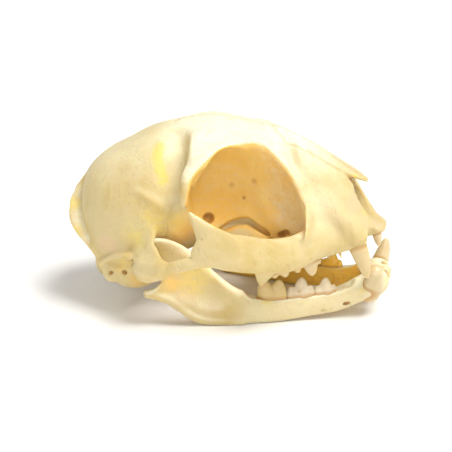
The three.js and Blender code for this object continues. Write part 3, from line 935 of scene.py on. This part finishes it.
# Each cusp: root, tip, half length, half depth, how far it bows forward, how blunt it is
tooth("upper_canine", [((37.3, 10.3, -5), (38.6, 10.7, -19.0), 2.8, 1.9, 0.3)], 0.5, *UPPER,
      age=0.7, sides=("right",))
tooth("upper_incisor", [((43.0, 3.6, -8.0), (42.7, 3.8, -12.6), 1.4, 1.1)], 0.3, *UPPER,
      age=0.5, sides=("right",))
tooth("upper_premolar_small", [
    ((29.7, 12.1, -8.5), (29.7, 12.3, -10.6), 0.5, 0.4),
    ((32.7, 11.5, -8.5), (32.9, 11.7, -11.2), 0.5, 0.4)], 0.3, *UPPER, age=0.8)
tooth("upper_premolar", [
    ((24.4, 13.8, -7.5), (24.3, 14.2, -13.6), 2.5, 1.2),
    ((26.8, 13.2, -7.5), (27.0, 13.4, -10.9), 1.1, 0.9),
    ((22.1, 14.2, -7.5), (21.8, 14.4, -10.6), 1.1, 0.9)], 1.2, *UPPER, age=0.6)
tooth("upper_carnassial", [
    ((11.9, 17.0, -7.5), (10.4, 17.4, -13.3), 1.9, 1.2),
    ((14.4, 16.8, -7.5), (14.4, 17.0, -11.3), 2.0, 1.1),
    ((17.3, 16.2, -7.5), (17.2, 16.4, -11.8), 2.1, 1.1),
    ((20.4, 15.2, -7.5), (20.8, 15.4, -11.6), 1.9, 1.1)], 1.2, *UPPER, age=0.8)
tooth("upper_molar", [((9.6, 14.4, -7.4), (9.4, 14.2, -10.4), 0.9, 1.6)], 0.4, *UPPER)


# %% Lower teeth
def level(points):
    """From the jaw's frame to the model's."""
    return points - (MIDDLE_X, 0, 0)


LOWER = (level, "mandible_{}")
tooth("lower_premolar_front", [
    ((30.2, 9.8, 6.0), (30.3, 9.9, 12.2), 2.3, 1.35),
    ((32.2, 9.2, 6.5), (32.6, 9.2, 10.2), 1.3, 1.0),
    ((28.2, 10.4, 6.5), (28.0, 10.4, 9.8), 1.5, 1.3)], 1.0, *LOWER, age=0.1)
tooth("lower_premolar_rear", [
    ((23.6, 12.0, 6.0), (23.8, 12.0, 12.6), 2.5, 1.5),
    ((26.0, 11.3, 6.4), (26.4, 11.2, 10.3), 1.5, 1.2),
    ((21.0, 12.8, 6.4), (20.8, 12.8, 10.0), 1.7, 1.4)], 1.1, *LOWER, age=0.1)
tooth("lower_carnassial", [
    ((17.3, 13.9, 5.5), (17.6, 13.8, 12.2), 2.7, 1.5),
    ((14.0, 14.9, 5.5), (13.4, 15.0, 12.6), 2.6, 1.5)], 2.0, *LOWER, age=1.0)
print(len(teeth), "teeth so far")

# %% [markdown]
# The two lower fangs differ: the right one is worn down to a stump and the left one is whole. So
# each is a tooth of its own, with its own height and bluntness.

# %% Lower fangs
FANGS = {
    "right": ((42.3, 6.2, 7.4), (44.1, 8.4, 14.4), 3.3, 2.5, 0.4, 2.4),
    "left": ((42.8, 6.4, 7.5), (46.0, 7.7, 18.6), 2.7, 2.2, 0.4, 0.2),
}
for side_name, fang in FANGS.items():
    tooth("lower_canine", [fang], 0, *LOWER, age=0.45, sides=(side_name,), glow=0.0)
print(len(teeth), "teeth")

# %% [markdown]
# ## Where the colour changes
#
# Dry bone isn't one colour. It is yellow where fat soaked it and pinkish tan where it is spongy.
# Light and shade are painted in as well: a painted highlight where it is high and faces up and
# forward, a painted amber glow where it is thin, painted amber shade where it is closed in, and
# painted shade in holes and crevices. These follow the anatomy, so they are worked out at each
# point of the mesh from its place in the skull, and stored there. The material then breaks their
# edges up with noise, so no outline looks drawn.

# %% Tools for tinting
def spots(points, table):
    """Soft round patches: x, y, z, radius, strength."""
    total = np.zeros(len(points))
    for x, y, z, radius, strength in table:
        far = ((points - (x, y, z)) ** 2).sum(axis=1)
        total = np.maximum(total, strength * np.exp(-far / (radius * radius)))
    return total


def path_distance(points, path):
    """How far each point is from a bent path."""
    least = np.full(len(points), 1e9)
    path = np.array(path, float)
    for a, b in zip(path, path[1:]):
        span = b - a
        t = np.clip((points - a) @ span / span.dot(span), 0, 1)
        least = np.minimum(least, ((points - a - t[:, None] * span) ** 2).sum(axis=1))
    return np.sqrt(least)


def closed_in(clay, points, normals, reach):
    """How much bone stands round a point: 0 on a ridge, 1 in a deep hole."""
    return np.clip(1 - sampled(clay, points + reach * normals) / reach, 0, 1)


def band(value, low, rise, fall, high):
    """1 from `rise` to `fall`, fading to 0 at `low` and at `high`."""
    return smooth(value, low, rise) * (1 - smooth(value, fall, high))


def most(*masks):
    """The strongest of several tints at each point."""
    return np.maximum.reduce(masks)


def share(values):
    """How much of a piece a tint covers."""
    return f"{100 * (values > 0.5).mean():.1f}% of the points"


def store(piece, **masks):
    """Each tint becomes a number stored at every point of the piece."""
    for name, values in masks.items():
        attribute = piece.data.attributes.new(name, "FLOAT", "POINT")
        attribute.data.foreach_set("value", values.astype(np.float32))


# %% The cranium's points, with its left half folded on to its right
NARROW, WIDE = 1.4, 5.0
whole = mirrored(cranium)
normals = facing(whole, head_points)
# Painted shade: the more bone closes round a point, the darker it is painted
near = closed_in(whole, head_points, normals, NARROW)
wide = closed_in(whole, head_points, normals, WIDE)
half, half_normals = head_points.copy(), normals.copy()
half[:, 1] = np.abs(half[:, 1])
half_normals[:, 1] *= np.where(head_points[:, 1] < 0, -1, 1)
right = head_points * (1, -1, 1)  # here only the head's right side has y above 0
x, y, z = half.T
print(f"narrow gaps: {share(near)}; closed in: {share(wide)}")

# %% [markdown]
# The socket's wall is found from the forms that cut it: it is what lies close to them and faces
# the eye. The lip inside it has a path already, and so has the braincase's hollow.

# %% The socket's wall, its lip and the hollow inside
EYE_MIDDLE = np.array((12, 19, 11))
faces_eye = (half_normals * (EYE_MIDDLE - half)).sum(axis=1)
socket_gap = np.min([form[0](x, y, z) for form in (socket, socket_rear, socket_front)], axis=0)
in_socket = (1 - smooth(socket_gap, 0.9, 1.8)) * smooth(faces_eye, 0.0, 3.0)
in_socket *= (z > PALATE + 0.5) * smooth(x, -7, -3)
in_socket *= 1 - smooth(y, 18, 21) * (1 - smooth(z, 6, 12))
front_wall = band(x, 9, 12, 24, 27) * band(z, -8, -6, 4, 8)
front_wall *= (1 - smooth(y, 11, 14)) * smooth(half_normals[:, 1], 0.1, 0.4)
lip = 1 - smooth(path_distance(half, [row[:3] for row in LIP]), 1.0, 2.0)
lip_height = np.interp(x, [0, 6, 10, 14], [2.2, 2.6, 1.4, -2.6])
under_lip = smooth(lip_height - z, 0, 1.2) * (1 - smooth(x, 8, 12))
hollow_wall = 1 - smooth(np.abs(brain_hollow[0](x, y, z)), 0.4, 1.0)
print(f"socket: {share(in_socket)}; hollow: {share(hollow_wall)}")

# %% Painted shade in holes and crevices, and a few dark spots
EAR_HOLES = [(-31.3, 18.0, -0.9, 0.9, 0.9), (-27.5, 17.6, -1.7, 0.9, 0.9)]
SMALL_HOLES = [
    (18.3, 7.6, -1.8, 1.5, 1.0), (1.1, 31.3, 8.3, 0.5, 0.9), (25.3, 13.5, 6.5, 1.2, 0.7),
    (23.5, 10.5, 12.0, 1.0, 0.6)]
FRECKLES = [(6.5, 5.8, 13.9, 1.8, 0.78), (13.3, 6.9, 14.1, 1.8, 0.82), (16.5, 8.0, 8.5, 1.2, 0.70)]
hole_gap = np.min([hole[0](x, y, z) for hole in nerve_holes], axis=0)
# Holes get painted shade inside them, and the freckles are a few dark spots in the socket
near = most(
    near, 1.1 * (1 - smooth(hole_gap, 0.1, 0.7)), spots(half, EAR_HOLES + SMALL_HOLES),
    spots(right, laid(cranium, FRECKLES, 0)))
print(f"dark: {share(near)}")

# %% Amber: a painted glow where bone is thin, and painted shade where it is closed in
THIN_BONE = [(-7.9, 16.5, 6.5, 5.0, 0.75), (-5.5, 14.5, 11.5, 3.5, 0.5), (-24.0, 16.0, -5.0, 5.0, 0.5)]
amber = in_socket * (1 - 0.75 * under_lip * (1 - lip)) * (0.75 + 0.25 * smooth(z, 0, 16))
amber = most(amber, 0.8 * front_wall) * (1 - 0.4 * smooth(x, 12, 20))
amber = most(
    amber, hollow_wall, spots(half, [(*hole_places[0], 3.0, 1.0), *THIN_BONE]),
    0.8 * smooth(wide, 0.75, 1.0))
print(f"amber: {share(amber)}")

# %% Yellow where fat soaked in, and tan where bone is spongy
GREASE_STREAK = [(-9.0, 11.5, 31.5), (-9.9, 14.1, 28.2), (-9.3, 15.8, 25.7), (-8.9, 17.0, 22.6)]
STREAK_WIDTH = 2.4
streak = np.exp(-((path_distance(right, GREASE_STREAK) / STREAK_WIDTH) ** 2))
stain = most(0.75 * streak, spots(half, [
    (-40.6, 7.0, 17.4, 4.5, 0.7), (-38.5, 13.0, 11.0, 3.5, 0.6), (40.5, 2.4, 8.6, 1.8, 0.6),
    (-27.5, 19.0, 0.6, 4.5, 0.6), (-20, 21, 9, 7, 0.5), (-13, 20.5, 12, 8, 0.5),
    (42.0, 5.6, -1.0, 2.4, 0.6), (-8.5, 17.5, 10, 5, 0.6)]))
blush = spots(half, [
    (33.0, 12.5, 0.5, 6.0, 0.5), (39.8, 8.4, 2.6, 3.6, 1.0), (44.6, 4.0, -6.0, 2.4, 1.2),
    (-29.5, 19.0, 8.0, 4.0, 1.0), (-38.5, 11, 7, 6, 0.8), (17.6, 8.7, 12.2, 1.6, 1.0),
    (11.4, 6.9, 7.6, 2.0, 0.9), (26.0, 6.0, 19.0, 5.0, 0.6), (-26, 20, 14, 8, 0.4)])
print(f"stained: {share(stain)}; blushed: {share(blush)}")

# %% Painted highlight: whiter where bone is high and faces up and forward
UP_AND_FORWARD = np.array((0.45, 0.0, 0.89))
ARCH = [(22, 22, -3), (9, 29, 2), (-5, 31, 2), (-18, 28, 0)]
CREST = [(-39.6, 7, 17), (-38.6, 11, 13.5), (-36.5, 14, 9)]
MUZZLE_SIDE = [(31.5, 12.0, 6.0, 6.0, 0.5)]
bleached = smooth(normals @ UP_AND_FORWARD, 0.15, 0.85) * smooth(z, 6, 22)
bleached *= (1 - in_socket) * (0.25 + 0.75 * smooth(x, -14, 0))
bleached *= 0.2 + 0.8 * smooth(path_distance(half, ARCH), 4, 9)
bleached = most(
    bleached, 0.7 * (1 - smooth(path_distance(half, CREST), 1.0, 3.0)),
    spots(half, MUZZLE_SIDE), 0.7 * in_socket * smooth(x, 12, 20))
store(cranium_piece, amber=amber, stain=stain, blush=blush, bleached=bleached, near=near)
print(f"bleached: {share(bleached)}")

# %% [markdown]
# The skull's bones meet in seams that wander like a river: one down the middle of the forehead
# and nose, and one along each side of the nose's own two bones. In a grown cat they have nearly
# closed, so they are a faint brown line, and not a gap. A path is laid on to the surface, made to
# wander by seeded random steps, and stored as one more tint, which costs no faces.

# %% Seams
SEAM_STEP = 0.9
SEAMS = [
    # points x, y, z and how far the seam wanders to each side
    ([(-6, 0, 34.5), (6, 0, 33.5), (16, 0, 29.8), (26, 0, 23.8), (36, 0, 13.5), (41, 0, 8)], 0.30),
    ([(22.5, 3.0, 26.0), (26.5, 4.6, 22.6), (32.0, 4.8, 17.2), (37.0, 4.4, 12.0)], 0.25),
    ([(22.5, 3.0, 26.0), (21.0, 0.2, 27.4)], 0.30),
]
wander = np.random.default_rng(4)
seam_gap = np.full(len(half), FAR)
for points, width in SEAMS:
    length = np.linalg.norm(np.diff(points, axis=0), axis=1).sum()
    path = read_rows(points, int(length / SEAM_STEP))
    path[:, 1] += wander.uniform(-width, width, len(path))
    seam_gap = np.minimum(seam_gap, path_distance(half, laid(cranium, path, 0)))
seam = 1 - smooth(seam_gap, 0.15, 0.75)
store(cranium_piece, seam=seam)
print(f"{int((seam > 0.5).sum())} points on the seams")

# %% [markdown]
# The jaw has the same tints, with the same painted light and shade, and one more for its inner
# face: a painted orange glow where light comes through it. A tooth has a gum line, and an age
# that says how yellow its enamel is.

# %% The jaw's and the teeth's tints
jaw_normals = facing(jaw, jaw_points)
jaw_masks = dict(
    # Painted amber glow where the jaw's plate is thin
    amber=spots(jaw_points, [(-11.6, 22.2, 13.0, 3.4, 0.7)]),
    # Painted orange glow on faces turned to the middle, for light through the jaw
    inner=smooth(-jaw_normals[:, 1], -0.1, 0.5) * (1 - 0.65 * smooth(jaw_points[:, 0], 36, 41)),
    stain=spots(jaw_points, [
        (-6, 20.5, 14, 8, 0.6), (14, 15, 8, 3.5, 0.8), (41, 8, 9, 2.2, 0.6), (20, 13, 8, 2, 0.5)]),
    blush=spots(jaw_points, [
        (0, 19, 4, 7, 0.5), (-8, 20.5, 9, 6, 0.6), (34, 9, 6, 6, 0.4), (46, 2, 11, 3, 0.6)]),
    # Painted highlight on faces turned up, and towards the front
    bleached=most(smooth(jaw_normals[:, 2], 0.0, 0.8), 0.4 * smooth(jaw_points[:, 0], 3, 14)),
    # Painted shade where bone closes round a point
    near=closed_in(jaw, jaw_points, jaw_normals, NARROW),
)
for piece in jaw_pieces.values():
    store(piece, **jaw_masks)
BROWN_PITS = {"lower_premolar_rear_right": [(23.2, 13.4, 9.2, 0.5, 1.0)]}
for piece in teeth:
    points, inner, age = tooth_points[piece.name]
    bone_field = cranium if piece.name.startswith("upper") else jaw
    gum = 1 - smooth(sampled(bone_field, points), 0.15, 1.0)
    gum = most(gum, spots(points, BROWN_PITS.get(piece.name, [])))
    store(piece, gum=gum, inner=inner, aged=np.full(len(points), age))
print("jaws and teeth tinted")

# %% [markdown]
# ## Bone
#
# One node group lays the tints over each other in order and another gives the fine relief. The
# shader itself stays in the material, because a shared group should only hand back colours and
# numbers.

# %% Node helpers
def node(tree, kind, **values):
    made = tree.nodes.new(kind)
    for key, value in values.items():
        if hasattr(made, key):
            setattr(made, key, value)
        else:
            made.inputs[key].default_value = value
    return made


def wire(tree, *pairs):
    for source, target in pairs:
        tree.links.new(source, target)


def new_group(name, outputs):
    group = bpy.data.node_groups.new(name, "ShaderNodeTree")
    for label, kind in outputs:
        group.interface.new_socket(label, in_out="OUTPUT", socket_type=kind)
    return group


def feed(tree, entry, value):
    """A node's input, set to a number or a colour, or wired to another node."""
    if isinstance(value, (int, float, tuple)):
        entry.default_value = value
    else:
        tree.links.new(value, entry)


def mix_colour(tree, factor, base, top):
    """`top` laid over `base` as far as `factor` says."""
    mixer = node(tree, "ShaderNodeMix", data_type="RGBA", clamp_factor=True)
    for number, value in ((0, factor), (6, base), (7, top)):
        feed(tree, mixer.inputs[number], value)
    return mixer.outputs[2]


def maths(tree, operation, *values):
    made = node(tree, "ShaderNodeMath", operation=operation)
    for entry, value in zip(made.inputs, values):
        feed(tree, entry, value)
    return made.outputs[0]


def layer(tree, base, top, amount, strength):
    """`top` laid over `base` where `amount` is 1, at most as thick as `strength`."""
    return mix_colour(tree, maths(tree, "MULTIPLY", amount, strength), base, top)


def noise(tree, scale, detail=4.0, rough=0.55, stretch=(1, 1, 1), distortion=0.0):
    coords = node(tree, "ShaderNodeTexCoord")
    mapping = node(tree, "ShaderNodeMapping")
    mapping.inputs["Scale"].default_value = stretch
    made = node(tree, "ShaderNodeTexNoise", Scale=scale, Detail=detail, Roughness=rough,
                Distortion=distortion)
    wire(tree, (coords.outputs["Object"], mapping.inputs["Vector"]),
         (mapping.outputs["Vector"], made.inputs["Vector"]))
    return made.outputs["Fac"]


def ramped(tree, value, low, high):
    made = node(tree, "ShaderNodeMapRange", clamp=True, interpolation_type="SMOOTHSTEP")
    tree.links.new(value, made.inputs[0])
    made.inputs[1].default_value = low
    made.inputs[2].default_value = high
    return made.outputs[0]


def mask(tree, name):
    return node(tree, "ShaderNodeAttribute", attribute_name=name).outputs["Fac"]


# %% Bone's colour
CREAM = (0.645, 0.53, 0.267, 1)
BUTTER = (0.585, 0.442, 0.174, 1)
# A whiter cream for the painted highlight
BLEACHED = (0.88, 0.82, 0.58, 1)
# Amber for the painted glow of thin bone and the painted shade of closed-in places
AMBER = (0.79, 0.46, 0.075, 1)
AMBER_PALE = (0.82, 0.57, 0.18, 1)
# Orange for the painted glow of light through thin bone
GLOW = (1.0, 0.62, 0.09, 1)
GREASE = (0.80, 0.61, 0.12, 1)
TAN = (0.69, 0.50, 0.30, 1)
CREVICE = (0.46, 0.22, 0.05, 1)

bone_colour = new_group("bone_colour", [("Colour", "NodeSocketColor")])
t = bone_colour
# A noise of scale 90 has clouds about 11 mm across, one of 420 has spots of 2.4 mm
clouds = noise(t, 90, 3)
fine = noise(t, 420, 4, 0.6, (1, 1, 1), 0.8)
grain = noise(t, 260, 3, 0.6, (1, 1, 3.2), 1.4)
patch = maths(t, "MULTIPLY", maths(t, "SUBTRACT", fine, 0.5), 0.55)


def broken(name, low=0.25, high=0.75):
    """A stored tint with its edge broken up."""
    return ramped(t, maths(t, "ADD", mask(t, name), patch), low, high)


colour = mix_colour(t, ramped(t, clouds, 0.38, 0.66), CREAM, BUTTER)
# Painted highlight: a whiter cream where the bone faces up and forward
colour = mix_colour(t, mask(t, "bleached"), colour, BLEACHED)
colour = layer(t, colour, TAN, broken("blush"), 0.60)
colour = layer(t, colour, GREASE, broken("stain"), 0.75)
# Painted amber glow of thin bone, and painted amber shade where it is closed in
amber_here = mix_colour(t, ramped(t, clouds, 0.35, 0.7), AMBER, AMBER_PALE)
colour = layer(t, colour, amber_here, broken("amber", 0.1, 0.8), 0.92)
# Painted orange glow, for light that comes through the jaw
colour = layer(t, colour, GLOW, broken("inner"), 0.95)
colour = layer(t, colour, TAN, ramped(t, grain, 0.48, 0.68), 0.32)
colour = layer(t, colour, CREVICE, broken("seam", 0.3, 0.9), 0.30)
# Painted shade in holes and crevices, with the dark spots, in deep brown
colour = layer(t, colour, CREVICE, ramped(t, mask(t, "near"), 0.45, 1.0), 0.75)
ends = node(t, "NodeGroupOutput")
wire(t, (colour, ends.inputs["Colour"]))
print("bone colour:", len(t.nodes), "nodes")

# %% Bone's relief
bone_relief = new_group("bone_relief", [("Height", "NodeSocketFloat")])
t = bone_relief
# Fine pores go in, and a slow swelling makes up most of the height
pores = maths(t, "MULTIPLY", ramped(t, noise(t, 1100, 2, 0.5, (1, 1, 0.45), 0.4), 0.60, 0.74), -0.5)
swell = maths(t, "MULTIPLY", noise(t, 170, 5, 0.62, (1, 1, 0.6), 0.8), 2.4)
wire(t, (maths(t, "ADD", pores, swell), node(t, "NodeGroupOutput").inputs["Height"]))
print("bone relief:", len(t.nodes), "nodes")


def grouped(tree, group):
    return node(tree, "ShaderNodeGroup", node_tree=group)


def bumped(tree, height, distance):
    made = node(tree, "ShaderNodeBump", Distance=distance)
    tree.links.new(height, made.inputs["Height"])
    return made.outputs["Normal"]


# %% The bone material
def new_material(name, **settings):
    material = bpy.data.materials.new(name)
    material.use_nodes = True
    shader = material.node_tree.nodes["Principled BSDF"]
    for key, value in settings.items():
        shader.inputs[key.replace("_", " ")].default_value = value
    return material, material.node_tree, shader


bone, tree, shader = new_material(
    "bone", Roughness=0.5, Subsurface_Weight=0.3, Subsurface_Scale=0.0025,
    Subsurface_Radius=(1.0, 0.6, 0.2), Specular_IOR_Level=0.3)
BONE_RELIEF_HEIGHT = 0.00023
tone, relief = grouped(tree, bone_colour), grouped(tree, bone_relief)
wire(tree, (tone.outputs["Colour"], shader.inputs["Base Color"]),
     (bumped(tree, relief.outputs["Height"], BONE_RELIEF_HEIGHT), shader.inputs["Normal"]))
for piece in (cranium_piece, *jaw_pieces.values()):
    piece.data.materials.append(bone)
print("bone on", 1 + len(jaw_pieces), "pieces")

# %% [markdown]
# ## Enamel
#
# Enamel is denser than bone, greyer, smoother and a little see-through. It has a brown line where
# it meets the bone, which is read from the bone's own field: the closer to zero, the browner.

# %% The enamel material
enamel, tree, shader = new_material(
    "enamel", Roughness=0.28, Subsurface_Weight=0.25, Subsurface_Scale=0.0015,
    Subsurface_Radius=(1.0, 0.8, 0.6))
ENAMEL = (0.70, 0.59, 0.42, 1)
ENAMEL_GREY = (0.62, 0.52, 0.35, 1)
ENAMEL_OLD = (0.62, 0.45, 0.15, 1)
GUM = (0.48, 0.25, 0.06, 1)
ENAMEL_RELIEF_HEIGHT = 0.00005
colour = mix_colour(tree, ramped(tree, noise(tree, 380, 3), 0.4, 0.65), ENAMEL, ENAMEL_GREY)
colour = layer(tree, colour, ENAMEL_OLD, mask(tree, "aged"), 0.8)
# Inner faces are painted orange, for light that comes through the jaw
colour = mix_colour(tree, mask(tree, "inner"), colour, GLOW)
colour = layer(tree, colour, GUM, mask(tree, "gum"), 0.75)
wire(tree, (colour, shader.inputs["Base Color"]),
     (bumped(tree, noise(tree, 700, 3), ENAMEL_RELIEF_HEIGHT), shader.inputs["Normal"]))
for piece in teeth:
    piece.data.materials.append(enamel)
print("enamel on", len(teeth), "teeth")

# %% [markdown]
# ## Floor and light
#
# A broad lamp high in front gives one soft shadow and keeps the domes' shading gentle. A small
# one beside the camera reaches into the eye socket, and one behind lights the far edge. Even
# light from all round holds the shadows pale.

# %% Floor and light
FLOOR_SIZE = 6
FLOOR_DROP = 0.0001  # just clear of the jaw, so the two surfaces don't flicker
bpy.ops.mesh.primitive_plane_add(size=FLOOR_SIZE, location=(0, 0, -FLOOR_DROP))
floor = bpy.context.object
floor.name = "studio_floor"
floor_material = bpy.data.materials.new("studio_floor")
floor_material.use_nodes = True
floor_shader = floor_material.node_tree.nodes["Principled BSDF"]
floor_shader.inputs["Base Color"].default_value = (0.92, 0.915, 0.90, 1)
floor_shader.inputs["Roughness"].default_value = 0.9
floor.data.materials.append(floor_material)


def area_light(name, place, size, power, color=(1, 1, 1)):
    data = bpy.data.lights.new(name, "AREA")
    data.size, data.energy, data.color = size, power, color
    lamp = bpy.data.objects.new(name, data)
    bpy.context.scene.collection.objects.link(lamp)
    lamp.location = place
    lamp.rotation_mode = "QUATERNION"
    lamp.rotation_quaternion = Vector(place).to_track_quat("Z", "Y")


bpy.context.scene.view_settings.view_transform = "Standard"
area_light("key", (1.3, -0.40, 2.67), 1.6, 100, (1.0, 0.99, 0.97))
area_light("fill", (0.16, -0.90, 0.34), 0.35, 2.4)
area_light("rear", (-1.2, 0.6, 0.9), 1.2, 6)
world = bpy.data.worlds.new("studio")
bpy.context.scene.world = world
world.use_nodes = True
EVEN_LIGHT = 0.38
sky = world.node_tree.nodes["Background"]
sky.inputs["Color"].default_value = (1, 1, 1, 1)
sky.inputs["Strength"].default_value = EVEN_LIGHT
print("floor, three lamps and even light")
